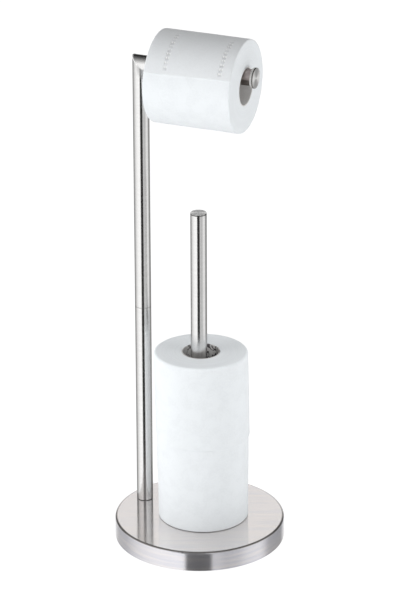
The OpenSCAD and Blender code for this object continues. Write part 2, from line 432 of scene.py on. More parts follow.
def turned_steel(name, axis, centre, rim, seam, half_line, shaded_side_colour, fans):
    """A turned end face: the marks are circles. Its side is painted in a shaded copy of the
    steel, and the shade of a thin groove is painted dark round that side. Seam is where its side
    begins along the axis, half_line is half the width of that painted groove shade, and fans is
    how strongly two opposite sectors of highlight and two of shade are painted on the face, from
    0 to 1."""
    finish = Finish(name, STEEL, 0.36, 1.0, Anisotropic=0.88)
    tree = finish.tree
    moved = add_node(tree, "ShaderNodeMapping", Vector=finish.place)
    moved.inputs["Location"].default_value = [-c for c in centre]
    x, y, z = split(tree, moved.outputs[0])
    along, side, other = (x, y, z) if axis == "X" else (z, x, y)
    away, angle = polar(side, other)
    face = away.ramp(rim - FACE_START, rim - FACE_FULL)
    height, tone = finish.brush(along + away)
    film = finish.film(0.6, Patch_size=0.008)
    # The side is painted in the shaded side colour, and the face lighter
    finish.tint(tone * 0.5 + face * 0.5, shaded_side_colour, STEEL_LIGHT)
    # Painted highlight and shade in two pairs of opposite sectors on the face
    fan = (angle * 2 + FAN_TURN).step("COSINE") * 0.5 + 0.5
    finish.tint_over(face * fan * fans, FAN_HIGHLIGHT)
    finish.tint_over(face * fan.opposite() * fans, FAN_SHADE)
    # The groove's shade, painted as a thin dark line
    off = (along - (seam + GROOVE_RISE)).step("ABSOLUTE")
    near = off.ramp(half_line + GROOVE_FADE, half_line - GROOVE_FADE)
    rest = face.opposite()
    finish.tint_over(near * rest, GROOVE_SHADE)
    finish.rough(film * 0.03 + tone * 0.02 + face * 0.18 + 0.2)
    give(tree, face * -0.3 + 1, finish.shader.inputs["Metallic"])
    finish.relief(height, 0.0008 * MM)
    outward = (side * face * 100, other * face * 100)
    finish.stretch(join(tree, rest, *outward) if axis == "X" else join(tree, *outward, rest))
    return finish.material


def base_steel(name):
    """The cover's satin steel: lines brushed straight over the top and round the side. The side
    is painted a darker lilac grey than the top, as shade and reflection, and a dark line of
    painted shade runs along the pressed edge"""
    finish = Finish(name, BASE_TOP, 0.25, 1.0, Anisotropic=0.9)
    tree = finish.tree
    x, y, z = split(tree, finish.place)
    top = z.ramp(base_top - TOP_START, base_top - TOP_FULL)
    side = top.opposite()
    straight = x * TOWARD_VIEW[0] + y * TOWARD_VIEW[1]
    height, tone = finish.brush(straight * top + z * side, Run=14.0)
    film = finish.film(0.25, Patch_size=0.05)
    # The side is painted a darker lilac grey than the top, as shade and reflection
    finish.tint(top * 0.6 + tone * 0.6 - film * 0.5, BASE_SIDE_SHADE, BASE_TOP)
    away = (x * x + y * y).step("SQRT")
    rim = away.ramp(base_r - RIM_IN, base_r - RIM_OUT)
    rim = rim * z.ramp(base_top - RIM_LOW, base_top - RIM_HIGH)
    # A dark line of painted shade along the pressed edge
    finish.tint_over(rim * 0.65, BASE_RIM_SHADE)
    finish.rough(film * 0.04 + tone * 0.03 + side * 0.04 + 0.15)
    give(tree, side * -0.05 + 0.9, finish.shader.inputs["Metallic"])
    finish.relief(height, 0.0003 * MM)
    finish.stretch(join(tree, top * TOWARD_VIEW[0], top * TOWARD_VIEW[1], side))
    return finish.material


def pale_weld_highlight():
    """The mitre's weld, ground and polished by hand, painted pale as the highlight along its line
    """
    finish = Finish("ground_weld_highlight", WELD_HIGHLIGHT_PALE, 0.45, 0.4)
    tree = finish.tree
    marks = noise(tree, enlarge(tree, finish.place, 1500.0), detail=3.0)
    film = finish.film(0.5, Patch_size=0.004)
    finish.tint(marks, [c * 0.94 for c in WELD_HIGHLIGHT_PALE], WELD_HIGHLIGHT_PALE)
    finish.rough(film * 0.06 + marks * 0.04 + 0.4)
    finish.relief(marks, 0.004 * MM)
    return finish.material


def plated_zinc():
    """Dull zinc plating with its fine crystal patches"""
    finish = Finish("zinc_plating", ZINC, 0.4, 1.0)
    tree = finish.tree
    crystal = add_node(tree, "ShaderNodeTexVoronoi", Vector=finish.place, Scale=900.0)
    film = finish.film(1.0, Patch_size=0.004)
    mask = Wire(tree, crystal.outputs["Distance"])
    finish.tint(mask, ZINC_DARK, ZINC_LIGHT)
    finish.rough(film * 0.15 + mask * 0.1 + 0.3)
    finish.relief(mask, 0.01 * MM)
    return finish.material


def painted_iron():
    """Rough cast iron under black paint"""
    finish = Finish("painted_cast_iron", IRON, 0.55)
    pits = noise(finish.tree, finish.place, scale=900.0, detail=5.0, rough=0.65)
    finish.tint(finish.film(0.8, Patch_size=0.02), IRON_CLEAN, IRON_DUSTY)
    finish.rough(pits * 0.3 + 0.4)
    finish.relief(pits, 0.25 * MM)
    return finish.material


def black_rubber(name, cell, depth):
    """Matt black rubber or foam. Cell is how wide its fine cells are and depth how deep."""
    finish = Finish(name, RUBBER, 0.75)
    tree = finish.tree
    cells = add_node(tree, "ShaderNodeTexVoronoi", Vector=finish.place, Scale=1 / cell)
    mask = Wire(tree, cells.outputs["Distance"])
    finish.tint(finish.film(0.9, Patch_size=0.012), RUBBER_CLEAN, RUBBER_DUSTY)
    finish.rough(mask * 0.15 + 0.7)
    finish.relief(mask, depth)
    return finish.material


def roll_place(finish, centre, turn):
    """The place on a roll, with the roll's own axis along z and its lower end at zero"""
    moved = add_node(finish.tree, "ShaderNodeMapping", {"vector_type": "TEXTURE"},
                     Vector=finish.place)
    moved.inputs["Location"].default_value = centre
    moved.inputs["Rotation"].default_value = turn
    return moved.outputs[0]


def tissue(name, centre, turn):
    """Soft white tissue: creped round the side, with the wound layers' edges at the ends. Shade
    is painted over the top sheet, highlight on the pressed bars and shade between them
    """
    finish = Finish(name, PAPER, 0.92, Sheen_Weight=0.12, Sheen_Roughness=0.5,
                    Specular_IOR_Level=0.12)
    tree = finish.tree
    own = roll_place(finish, centre, turn)
    x, y, _ = split(tree, own)
    radius, angle = polar(x, y)
    on_end = finish.mark("skin").opposite()
    on_side = on_end.opposite()
    layer = radius / LAYER - angle / FULL_TURN
    edges = (layer * FULL_TURN).step("SINE") * 0.5 + 0.5
    bands = noise(tree, enlarge(tree, own, 6.0), radius / BAND, detail=3.0, rough=0.7)
    crepe = finish.group(CREPE, Place=own, Around=angle * ROLL_R)
    clumps = Wire(tree, crepe.outputs["Clumps"])
    clouds = noise(tree, enlarge(tree, own, 70.0), detail=3.0, rough=0.6).ramp(0.35, 0.65)
    side_tone = clumps * 0.4 + clouds * 0.45 + 0.4
    # A pale ring painted round the core, as the highlight on the hole's edge
    rim_highlight = radius.ramp(*CORE_RIM_HIGHLIGHT)
    end_tone = bands.ramp(0.35, 0.65) * 0.5 + edges * 0.2 + rim_highlight * 0.8 + 0.3
    finish.tint(side_tone * on_side + end_tone * on_end, PAPER_SHADE, PAPER)
    # Painted shade over the top sheet
    finish.tint_over(finish.mark("top_sheet_shade") * (clumps * -0.2 + 1), TOP_SHEET_SHADE)
    # Painted shade between the pressed bars, and painted highlight on them
    finish.tint_over(finish.mark("between_bars_shade"), BETWEEN_BARS_SHADE)
    finish.tint_over(finish.mark("pressed_bars_highlight"), PRESSED_HIGHLIGHT)
    end_height = edges * 0.35 + bands * 0.65
    side_height = Wire(tree, crepe.outputs["Height"]) * on_side * 0.35
    finish.relief(side_height + end_height * on_end, 0.22 * MM)
    return finish.material


def core_board(name, centre, turn, grey, folds):
    """Grey board wound in a spiral, with fibres and a darker line at each lap. Grey is how light
    the board is painted, where below 1 it stands in for the shade in a deep hole, and folds how
    much it is crumpled, with the shade in its folds painted dark, both from 0 to 1."""
    # Grey below 1 darkens the board as painted shade
    dark = [c * grey for c in CARD_DARK]
    light = [c * grey for c in CARD_LIGHT]
    finish = Finish(name, light, 0.85, Specular_IOR_Level=0.2)
    tree = finish.tree
    own = roll_place(finish, centre, turn)
    x, y, z = split(tree, own)
    angle = y.step("ARCTAN2", x)
    turns = angle / FULL_TURN - z / CORE_LEAD
    lap = (turns.step("FRACT") - 0.5).step("ABSOLUTE").ramp(0.46, 0.5)
    fibres = noise(tree, enlarge(tree, own, 300.0), turns * 60.0, detail=4.0, rough=0.65)
    film = finish.film(1.0, Place=own, Patch_size=0.006)
    tone = fibres * 0.8 + film * 0.3 - lap * 0.55
    finish.tint(tone, dark, light)
    bends = noise(tree, enlarge(tree, own, 100.0), detail=2.0, rough=0.6)
    # Thin dark lines painted as the shade in the crumpled folds, which also dent the relief
    fold = (bends - 0.5).step("ABSOLUTE").ramp(0.045, 0.02) * y.ramp(0.0, FOLD_SIDE) * folds
    finish.tint_over(fold, CARD_FOLD_SHADE)
    finish.relief(fibres - lap * 0.8 - fold, 0.12 * MM)
    return finish.material


# Shapes made by rule, with Geometry Nodes

def read_number(tree, name):
    """A value that the outline's points hold"""
    node = add_node(tree, "GeometryNodeInputNamedAttribute", {"data_type": "FLOAT"}, Name=name)
    return Wire(tree, node.outputs[0])


def sweep_round(tree, start):
    """Sweeps the outline that comes in round the z axis. Returns the mesh and its x, y, z."""
    outline = add_node(tree, "GeometryNodeMeshToCurve", Mesh=start.outputs["Geometry"])
    circle = add_node(tree, "GeometryNodeCurvePrimitiveCircle", {"mode": "RADIUS"},
                      Resolution=start.outputs["Segments"], Radius=start.outputs["Sweep radius"])
    swept = add_node(tree, "GeometryNodeCurveToMesh")
    give(tree, circle.outputs["Curve"], swept.inputs["Curve"])
    give(tree, outline.outputs[0], swept.inputs["Profile Curve"])
    place = tree.nodes.new("GeometryNodeInputPosition").outputs[0]
    return swept.outputs[0], place, split(tree, place)


def close_tree(tree, end, mesh, start):
    """Smooth shading, plain geometry and the material, at the end of a tree"""
    smooth = add_node(tree, "GeometryNodeSetShadeSmooth", Geometry=mesh)
    plain = add_node(tree, "GeometryNodeRealizeInstances", Geometry=smooth.outputs[0])
    named = add_node(tree, "GeometryNodeSetMaterial", Geometry=plain.outputs[0],
                     Material=start.outputs["Material"])
    give(tree, named.outputs[0], end.inputs["Geometry"])


def press_tracks(size, z, bar, pressure, first_sheet):
    """Masks of the bars in the two pressed tracks, and of the paper between those bars. The bars
    are also painted light, and the paper between them is painted as shade
    """
    bars = []
    gaps = []
    for name in ("Track one", "Track two"):
        off = (z - size(name)).step("ABSOLUTE")
        half = size("Track width") * 0.5
        there = off.ramp(half, half * 0.72) * first_sheet
        beside_line = off.ramp(*PLAIN_LINE)
        bars.append(there * beside_line * bar)
        gaps.append(there * (beside_line * bar).opposite() * pressure)
    return bars[0] + bars[1], gaps[0] + gaps[1]


def make_wound_roll():
    """A wound roll: swept round, with a lifted free end, pressed tracks and uneven layers"""
    tree, start, end = new_group("wound_roll", "GeometryNodeTree", [
        ("Geometry", "INPUT", GEOMETRY, None),
        ("Segments", "INPUT", "NodeSocketInt", 720),
        ("Sweep radius", "INPUT", FLOAT, 38 * MM),
        ("Roll radius", "INPUT", FLOAT, ROLL_R),
        ("Layer relief", "INPUT", FLOAT, 0.25 * MM),
        ("Layer pitch", "INPUT", FLOAT, 3.6 * MM),
        ("Free end angle", "INPUT", FLOAT, 0.0),
        ("Free end slant", "INPUT", FLOAT, 0.0),
        ("Winding way", "INPUT", FLOAT, 1.0),
        ("Free end lift", "INPUT", FLOAT, 0.8 * MM),
        ("Free end reach", "INPUT", FLOAT, 30 * MM),
        ("Sheet step", "INPUT", FLOAT, 0.3 * MM),
        ("Track one", "INPUT", FLOAT, TRACKS[0]),
        ("Track two", "INPUT", FLOAT, TRACKS[1]),
        ("Track width", "INPUT", FLOAT, 2 * TRACK_HALF),
        ("Bars round", "INPUT", FLOAT, 62.0),
        ("Bar depth", "INPUT", FLOAT, 0.2 * MM),
        ("Bar tone", "INPUT", FLOAT, 0.0),
        ("Sheet grey", "INPUT", FLOAT, 0.0),
        ("Softness", "INPUT", FLOAT, 0.25 * MM),
        ("Flat depth", "INPUT", FLOAT, 0.0),
        ("Flat way", "INPUT", FLOAT, 0.0),
        ("Low bulge", "INPUT", FLOAT, 0.0),
        ("High bulge", "INPUT", FLOAT, 0.0),
        ("Seed", "INPUT", FLOAT, 0.0),
        ("Material", "INPUT", "NodeSocketMaterial", None),
        ("Geometry", "OUTPUT", GEOMETRY, None),
    ])

    def size(name):
        return Wire(tree, start.outputs[name])

    mesh, place, (x, y, z) = sweep_round(tree, start)
    radius, angle = polar(x, y)
    skin = read_number(tree, "skin")
    end_side = read_number(tree, "end_side")
    roll_r = size("Roll radius")

    # The free end: behind runs from 0 at its edge to 1, back under that edge. The whole turns
    # keep it above zero, and the rest keeps points on the edge off the seam
    edge = size("Free end angle") + z * size("Free end slant")
    behind = ((angle - edge) * size("Winding way") / FULL_TURN + 2.00001).step("FRACT")
    lifted = (behind * FULL_TURN * roll_r) / size("Free end reach")
    lift = lifted.opposite().step("MAXIMUM", 0.0).step("POWER", 2.0) * size("Free end lift")
    sheet = behind.opposite() * size("Sheet step")

    # The pressed tracks, which run along the first sheet and fade out
    pressure = noise(tree, enlarge(tree, place, 130.0), detail=1.0).ramp(0.35, 0.6, 0.3, 1.0)
    bar = (angle * size("Bars round")).step("COSINE").ramp(-0.15, 0.5) * pressure
    first_sheet = behind.ramp(0.008, 0.014) * behind.ramp(0.19, 0.15)
    pressed, between = press_tracks(size, z, bar, pressure, first_sheet)
    soft = noise(tree, enlarge(tree, place, 22.0), size("Seed"), detail=2.0) - 0.5
    outward = skin * (lift + sheet + soft * size("Softness") * 2 - pressed * size("Bar depth"))

    # Squeezed along the flat way, and wider across it
    along = (angle - size("Flat way")).step("COSINE").step("POWER", 2.0)
    bulge = z.ramp(0.0, roll_r * 2, size("Low bulge"), size("High bulge"))
    squeeze = along * size("Flat depth") - bulge * along.opposite()
    outward = outward - squeeze * (radius / roll_r).ramp(0.45, 1.0)

    # The layers' edges, which stand unevenly at the ends
    wound = (roll_r - radius) / size("Layer pitch")
    uneven = noise(tree, enlarge(tree, place, 9.0), wound * 1.7 + size("Seed"), detail=3.0) - 0.5
    spiral = ((wound - angle / FULL_TURN) * FULL_TURN).step("SINE") * 0.2
    upward = end_side * (uneven * 2 + spiral) * size("Layer relief")

    stretch = (radius + outward) / radius
    kept = add_node(tree, "GeometryNodeSetPosition", Geometry=mesh,
                    Position=join(tree, x * stretch, y * stretch, z + upward))
    # Shade painted over the roll's top, from the free end back over the top sheet
    top_sheet_shade = behind.ramp(0.42, 0.30) * (behind.ramp(0.02, 0.24) * 0.5 + 0.5) * skin
    # Masks of painted light: shade over the top, highlight on the pressed bars and shade between
    # them
    marks = {
        "top_sheet_shade": top_sheet_shade * size("Sheet grey"),
        "pressed_bars_highlight": pressed * skin * size("Bar tone"),
        "between_bars_shade": between * skin * size("Bar tone") * 0.5,
    }
    for title, value in marks.items():
        kept = add_node(tree, "GeometryNodeStoreNamedAttribute",
                        {"data_type": "FLOAT", "domain": "POINT"},
                        Geometry=kept.outputs[0], Name=title, Value=value)
    close_tree(tree, end, kept.outputs[0], start)
    return tree


def make_wound_core():
    """A spiral-wound board tube, with a slight step where the strip laps over itself"""
    tree, start, end = new_group("wound_core", "GeometryNodeTree", [
        ("Geometry", "INPUT", GEOMETRY, None),
        ("Segments", "INPUT", "NodeSocketInt", 192),
        ("Sweep radius", "INPUT", FLOAT, 22 * MM),
        ("Lead", "INPUT", FLOAT, CORE_LEAD),
        ("Lap height", "INPUT", FLOAT, 0.1 * MM),
        ("Dent depth", "INPUT", FLOAT, 0.1 * MM),
        ("Seed", "INPUT", FLOAT, 0.0),
        ("Material", "INPUT", "NodeSocketMaterial", None),
        ("Geometry", "OUTPUT", GEOMETRY, None),
    ])
    mesh, place, (x, y, z) = sweep_round(tree, start)
    radius, angle = polar(x, y)
    inside = read_number(tree, "bore")
    turns = angle / FULL_TURN - z / Wire(tree, start.outputs["Lead"])
    lap = turns.step("FRACT").ramp(0.0, 0.12) * Wire(tree, start.outputs["Lap height"])
    dents = noise(tree, enlarge(tree, place, 40.0), Wire(tree, start.outputs["Seed"])) - 0.5
    inward = inside * (lap + dents * Wire(tree, start.outputs["Dent depth"]))
    stretch = (radius - inward) / radius
    moved = add_node(tree, "GeometryNodeSetPosition", Geometry=mesh,
                     Position=join(tree, x * stretch, y * stretch, z))
    close_tree(tree, end, moved.outputs[0], start)
    return tree


WOUND_ROLL = make_wound_roll()
WOUND_CORE = make_wound_core()


def spread(start, stop, count):
    """Count values from start to stop, without stop itself"""
    return [start + (stop - start) * i / count for i in range(count)]


def arc(centre_r, centre_z, radius, start, stop, count):
    """Points of a corner, as distance from the axis and height"""
    return [(centre_r + radius * math.cos(a), centre_z + radius * math.sin(a))
            for a in spread(math.radians(start), math.radians(stop), count)]


def outline_mesh(name, points, sweep_radius, **marks):
    """A closed outline as a mesh of edges. Points are distance from the axis and height."""
    mesh = bpy.data.meshes.new(name)
    count = len(points)
    mesh.from_pydata([(r - sweep_radius, -z, 0) for r, z in points],
                     [(i, (i + 1) % count) for i in range(count)], [])
    for title, values in marks.items():
        attribute = mesh.attributes.new(title, "FLOAT", "POINT")
        attribute.data.foreach_set("value", values)
    return mesh


def put(name, data):
    """A new object in the scene"""
    thing = bpy.data.objects.new(name, data)
    bpy.context.scene.collection.objects.link(thing)
    return thing


def baked(thing):
    """The plain mesh that an object's curve or rule makes"""
    graph = bpy.context.evaluated_depsgraph_get()
    return bpy.data.meshes.new_from_object(thing.evaluated_get(graph), depsgraph=graph)


def made_by_rule(name, mesh, tree, material, placing, sharp, **sizes):
    """Runs a tree on an outline and keeps the result as a plain mesh in its place. Edges
    sharper than sharp, in degrees, stay sharp."""
    thing = put(name, mesh)
    rule = thing.modifiers.new("rule", "NODES")
    rule.node_group = tree
    keys = {item.name: item.identifier for item in tree.interface.items_tree
            if item.in_out == "INPUT"}
    for title, value in {**sizes, "Material": material}.items():
        rule[keys[title.replace("_", " ")]] = value
    plain = baked(thing)
    thing.modifiers.clear()
    thing.data = plain
    plain.name = name
    plain.transform(placing)
    face_outward(plain)
    plain.set_sharp_from_angle(angle=math.radians(sharp))
    return thing


def face_outward(mesh, merge=0.0):
    """Turns all faces outwards, after points nearer than merge were joined"""
    work = bmesh.new()
    work.from_mesh(mesh)
    if merge:
        bmesh.ops.remove_doubles(work, verts=work.verts, dist=merge)
    bmesh.ops.recalc_face_normals(work, faces=work.faces)
    work.to_mesh(mesh)
    work.free()


def paper_outline(bore, radius, width, edges, below):
    """Outline of the wound paper, with rows close together where the tracks are pressed in.
    Edges are the radii at its ends, and below is how far its lower end gives under a load.
    Returns the points, which of them lie on the side, and which way the loose ends face."""
    nip = 0.5 * MM
    low_edge, high_edge = edges
    low_loose, high_loose = (float(edge > FLAT_EDGE) for edge in edges)
    low_r = radius - low_edge
    high_r = radius - high_edge
    rows = [(r, -below, 0.0, -low_loose) for r in spread(bore + nip, low_r, END_ROWS)]
    rows += [(r, z - below, 1.0, 0.0) for r, z in arc(low_r, low_edge, low_edge, -90, 0, 6)]
    heights = []
    edge = low_edge
    for track in TRACKS:
        heights += spread(edge, track - TRACK_GUARD, 4)
        heights += [track - TRACK_GUARD]
        heights += spread(track - TRACK_HALF, track + TRACK_HALF, 13)
        heights += [track + TRACK_HALF]
        edge = track + TRACK_GUARD
    heights += spread(edge, width - high_edge, 4)
    rows += [(radius, z, 1.0, 0.0) for z in heights]
    rows += [(r, z, 1.0, 0.0) for r, z in arc(high_r, width - high_edge, high_edge, 0, 90, 6)]
    rows += [(r, width, 0.0, high_loose) for r in spread(high_r, bore + nip, END_ROWS)]
    rows += [(r, z, 0.0, 0.0) for r, z in arc(bore + nip, width - nip, nip, 90, 180, 3)]
    rows += [(bore, z, 0.0, 0.0) for z in spread(width - nip, nip, 4)]
    rows += [(r, z, 0.0, 0.0) for r, z in arc(bore + nip, nip, nip, 180, 270, 3)]
    return [row[:2] for row in rows], [row[2] for row in rows], [row[3] for row in rows]


def core_outline(bore, radius, width):
    """Outline of a core. Returns the points and which of them lie in the bore."""
    nip = 0.15 * MM
    rows = [(r, z, 0.0) for r, z in arc(radius - nip, nip, nip, -90, 0, 3)]
    rows += [(radius, z, 0.0) for z in spread(nip, width - nip, 6)]
    rows += [(r, z, 0.0) for r, z in arc(radius - nip, width - nip, nip, 0, 90, 3)]
    rows += [(r, z, 1.0) for r, z in arc(bore + nip, width - nip, nip, 90, 180, 3)]
    rows += [(bore, z, 1.0) for z in spread(width - nip, nip, 48)]
    rows += [(r, z, 1.0) for r, z in arc(bore + nip, nip, nip, 180, 270, 3)]
    return [row[:2] for row in rows], [row[2] for row in rows]


def roll_frame(node, axis):
    """Where a roll stands: the matrix from its own axis along z, its radius and its width"""
    low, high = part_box(node)
    middle = (low + high) / 2
    size = high - low
    if axis == "X":
        turned = Matrix.Rotation(math.pi / 2, 4, "Y")
        return Matrix.Translation((low.x, middle.y, middle.z)) @ turned, size.y / 2, size.x
    return Matrix.Translation((middle.x, middle.y, low.z)), size.x / 2, size.z


def make_roll(name, body, axis, edges, seed, board, below=0.0, askew=(0.0, 0.0), **free_end):
    """The core and the wound paper of one roll, each in its own place. Board is how light its
    core is painted, darker as the shade in a deep hole, and how crumpled it is, and askew is how
    far the lower and the upper end of an upright roll are off to the viewer's right. Its finish
    is centred on the upper end, which shows."""
    placing, radius, width = roll_frame(name + "_paper", axis)
    core_radius = roll_frame(name + "_core", axis)[1]
    turn = placing.to_euler()
    centre = placing.to_translation() + RIGHT_OF_VIEW * askew[1]
    lean = Matrix.Identity(4)
    for row in range(2):
        lean[row][2] = RIGHT_OF_VIEW[row] * (askew[1] - askew[0]) / width
    placing = Matrix.Translation(RIGHT_OF_VIEW * askew[0]) @ placing @ lean
    points, skin, end_side = paper_outline(core_radius + CORE_GAP, radius, width, edges, below)
    sweep = SWEEP_SHARE * radius
    outline = outline_mesh(name + "_outline", points, sweep, skin=skin, end_side=end_side)
    paper = made_by_rule(
        name + "_wound_paper", outline, WOUND_ROLL, tissue(name + "_tissue", centre, turn),
        placing, sharp=60, Sweep_radius=sweep, Roll_radius=radius, Seed=seed, **free_end)
    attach(paper, body)
    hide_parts(name + "_paper")
    points, bore = core_outline(core_radius - CORE_WALL, core_radius, width)
    sweep = core_radius - CORE_WALL / 2
    outline = outline_mesh(name + "_core_outline", points, sweep, bore=bore)
    core = made_by_rule(name + "_wound_core", outline, WOUND_CORE,
                        core_board(name + "_board", centre, turn, *board), placing,
                        sharp=50, Sweep_radius=sweep, Seed=seed)
    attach(core, body)
    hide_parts(name + "_core")


def piece_of(curve, name, material):
    """The plain closed piece that a drawn curve makes"""
    drawn = put(name, curve)
    mesh = baked(drawn)
    bpy.data.objects.remove(drawn)
    face_outward(mesh, merge=0.001 * MM)
    mesh.materials.clear()
    mesh.materials.append(material)
    return put(name, mesh)


def ring_spline(curve, points):
    """One closed ring of straight pieces through the points"""
    ring = curve.splines.new("POLY")
    ring.points.add(len(points) - 1)
    ring.use_cyclic_u = True
    for point, place in zip(ring.points, points):
        point.co = (*place, 1)


def make_weld_line():
    """The line of the weld where the arm's tube meets the post's, painted pale as a highlight"""
    middle = Vector(mitre)
    curve = bpy.data.curves.new("mitre_weld_line", "CURVE")
    curve.dimensions = "3D"
    curve.bevel_depth = WELD_LINE_R
    curve.bevel_resolution = 3
    points = []
    for turn in spread(0, FULL_TURN, RING_POINTS):
        out = Vector((-math.cos(turn), math.sin(turn), math.cos(turn)))
        points.append(middle + out * (tube_r - WELD_SUNK))
    ring_spline(curve, points)
    line = piece_of(curve, "mitre_weld_line", pale_weld_highlight())
    for face in line.data.polygons:
        face.use_smooth = True
    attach(line, "stand")


def make_pad():
    """The foam pad: a disc with soft edges and a round hole below each bolt"""
    low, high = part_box("foot_pad")
    thick = high.z - low.z
    soft = PAD_SOFT_SHARE * thick
    rings = [(0.0, 0.0, high.x - soft)]
    for post in ("lower_post_tube", "spare_post_tube"):
        near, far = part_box(post)
        rings.append(((near.x + far.x) / 2, (near.y + far.y) / 2, PAD_HOLE_R + soft))
    outline = bpy.data.curves.new("foam_foot_pad", "CURVE")
    outline.dimensions = "2D"
    outline.fill_mode = "BOTH"
    outline.extrude = thick / 2 - soft
    outline.bevel_depth = soft
    outline.bevel_resolution = 3
    for x, y, radius in rings:
        ring_spline(outline, [(x + radius * math.cos(a), y + radius * math.sin(a), 0)
                              for a in spread(0, FULL_TURN, RING_POINTS)])
    foam = black_rubber("black_foot_foam", cell=0.9 * MM, depth=0.15 * MM)
    pad = piece_of(outline, "foam_foot_pad", foam)
    pad.data.transform(Matrix.Translation((0, 0, (low.z + high.z) / 2)))
    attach(pad, "stand")
    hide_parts("foot_pad")


# Steel pieces: the CAD shapes keep their place and get their finish

def dress(material, *names):
    """Gives CAD nodes their finish"""
    for name in names:
        slots = PARTS[name].data.materials
        slots.clear()
        slots.append(material)


arm_low, arm_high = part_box("arm_tube")
arm_centre = (0, (arm_low.y + arm_high.y) / 2, (arm_low.z + arm_high.z) / 2)
base_r, _, base_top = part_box("base_cover")[1]
ring_low, ring_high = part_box("arm_stop_ring")
ring_r = (ring_high.y - ring_low.y) / 2
post_r, _, post_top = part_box("spare_post_tube")[1]
upper_low, upper_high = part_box("upper_post_tube")
tube_r = (upper_high.y - upper_low.y) / 2
mitre = (upper_low.x + tube_r, arm_centre[1], arm_centre[2])

dress(base_steel("brushed_base_steel"), "base_cover")
dress(brushed_steel("brushed_post_steel", "Z"), "lower_post_tube", "spare_post_tube")
dress(brushed_steel("brushed_top_steel", "Z", mitre), "upper_post_tube")
dress(brushed_steel("brushed_arm_steel", "X"), "arm_tube")
dress(turned_steel("turned_arm_steel", "X", arm_centre, rim=ring_r, seam=ring_high.x,
                   half_line=0.6 * MM, shaded_side_colour=RING_SIDE_SHADE, fans=1.0),
      "arm_stop_ring", "arm_end_cap")
dress(turned_steel("turned_post_steel", "Z", (0, 0, 0), rim=post_r, seam=post_top,
                   half_line=0.4 * MM, shaded_side_colour=STEEL_DARK, fans=0.2),
      "spare_post_cap")
dress(plated_zinc(), "post_bolts", "bolt_washers", "main_foot_plug", "lower_joint_plug",
      "joint_stud", "upper_joint_plug", "spare_foot_plug")
dress(painted_iron(), "base_weight")
dress(black_rubber("black_gasket_rubber", cell=0.5 * MM, depth=0.03 * MM), "post_gaskets")
make_pad()
make_weld_line()


# The three rolls

make_roll("hanging", "hanging_roll", "X", edges=(1.6 * MM, 1.6 * MM), seed=1.0,
          board=(1.0, 0.0), Bar_depth=0.7 * MM, Bar_tone=1.0, Sheet_grey=1.0,
          Free_end_angle=math.radians(-112), Free_end_slant=-0.5, Winding_way=-1.0,
          Free_end_lift=0.5 * MM, Free_end_reach=16 * MM)
make_roll("lower_spare", "lower_spare_roll", "Z", edges=(1.2 * MM, 0.15 * MM), seed=2.0,
          board=(0.8, 1.0), askew=(1.2 * MM, 0.6 * MM),
          Free_end_angle=2.4, Free_end_lift=0.4 * MM,
          Flat_depth=1.8 * MM, Flat_way=SQUEEZED_WAY, Low_bulge=-1.2 * MM, High_bulge=0.0)
make_roll("upper_spare", "upper_spare_roll", "Z", edges=(0.15 * MM, 3.0 * MM), seed=3.0,
          board=(0.8, 1.0), below=0.25 * MM, askew=(0.9 * MM, -1.1 * MM),
          Free_end_angle=1.9, Free_end_lift=0.4 * MM,
          Flat_depth=2.2 * MM, Flat_way=SQUEEZED_WAY, Low_bulge=0.9 * MM, High_bulge=1.1 * MM)


# Floor, light and camera

# To the camera the floor is a dim one that glows, so that its shadow is faint
WHITE = (1, 1, 1, 1)
FLOOR_WHITE = (0.85, 0.85, 0.85, 1)
FLOOR_DIM = (0.20, 0.20, 0.20, 1)
FLOOR_GLOW = 0.90
LAMPS_AIM = Vector((0, 0, 0.3))


def white_floor():
    """A white floor that keeps the shadow. To the camera it is as white as the background."""
    material = bpy.data.materials.new("white_floor")
    material.use_nodes = True
    tree = material.node_tree
    tree.nodes.clear()
    seen = add_node(tree, "ShaderNodeLightPath")
    plain = add_node(tree, "ShaderNodeBsdfDiffuse", Color=FLOOR_WHITE)
    dim = add_node(tree, "ShaderNodeBsdfDiffuse", Color=FLOOR_DIM)
    glow = add_node(tree, "ShaderNodeEmission", Color=WHITE, Strength=FLOOR_GLOW)
    both = tree.nodes.new("ShaderNodeAddShader")
    give(tree, dim.outputs[0], both.inputs[0])
    give(tree, glow.outputs[0], both.inputs[1])
    choice = tree.nodes.new("ShaderNodeMixShader")
    shown = Wire(tree, seen.outputs["Is Camera Ray"]) + Wire(tree, seen.outputs["Is Glossy Ray"])
    shown = (shown + Wire(tree, seen.outputs["Is Transmission Ray"])).step("MINIMUM", 1.0)
    give(tree, shown, choice.inputs[0])
    give(tree, plain.outputs[0], choice.inputs[1])
    give(tree, both.outputs[0], choice.inputs[2])
    out = tree.nodes.new("ShaderNodeOutputMaterial")
    give(tree, choice.outputs[0], out.inputs[0])
    return material


def flat_piece(name, middle, side, rise, material):
    """A flat piece of the studio. Side and rise run from its middle to its edges."""
    mesh = bpy.data.meshes.new(name)
    corners = [middle - side - rise, middle + side - rise,
               middle + side + rise, middle - side + rise]
    mesh.from_pydata(corners, [], [(0, 1, 2, 3)])
    mesh.materials.append(material)
    piece = put(name, mesh)
    return piece


def lay_floor(half):
    """A square floor that reaches half to each side. The steel doesn't show it."""
    floor = flat_piece("studio_floor", Vector((0, 0, 0)), Vector((half, 0, 0)),
                       Vector((0, half, 0)), white_floor())
    floor.visible_glossy = False


# How bright the studio is that the steel shows. Azimuth in degrees, from the camera to the right
STUDIO = [
    (-180, 0.95), (-160, 0.95), (-150, 0.52), (-120, 0.54), (-104, 0.78), (-84, 1.02),
    (-62, 1.16), (-30, 1.22), (-21, 1.18), (-18.5, 0.02), (15, 0.02), (17.5, 0.74),
    (25, 0.70), (36, 0.57), (54, 0.64), (68, 0.90), (90, 1.03), (99, 0.80), (108, 0.42),
    (148, 0.32), (160, 0.95), (180, 0.95),
]

# The soft light on everything that isn't shiny: from level and from overhead
AMBIENT = 0.435
AMBIENT_TOP = 0.88


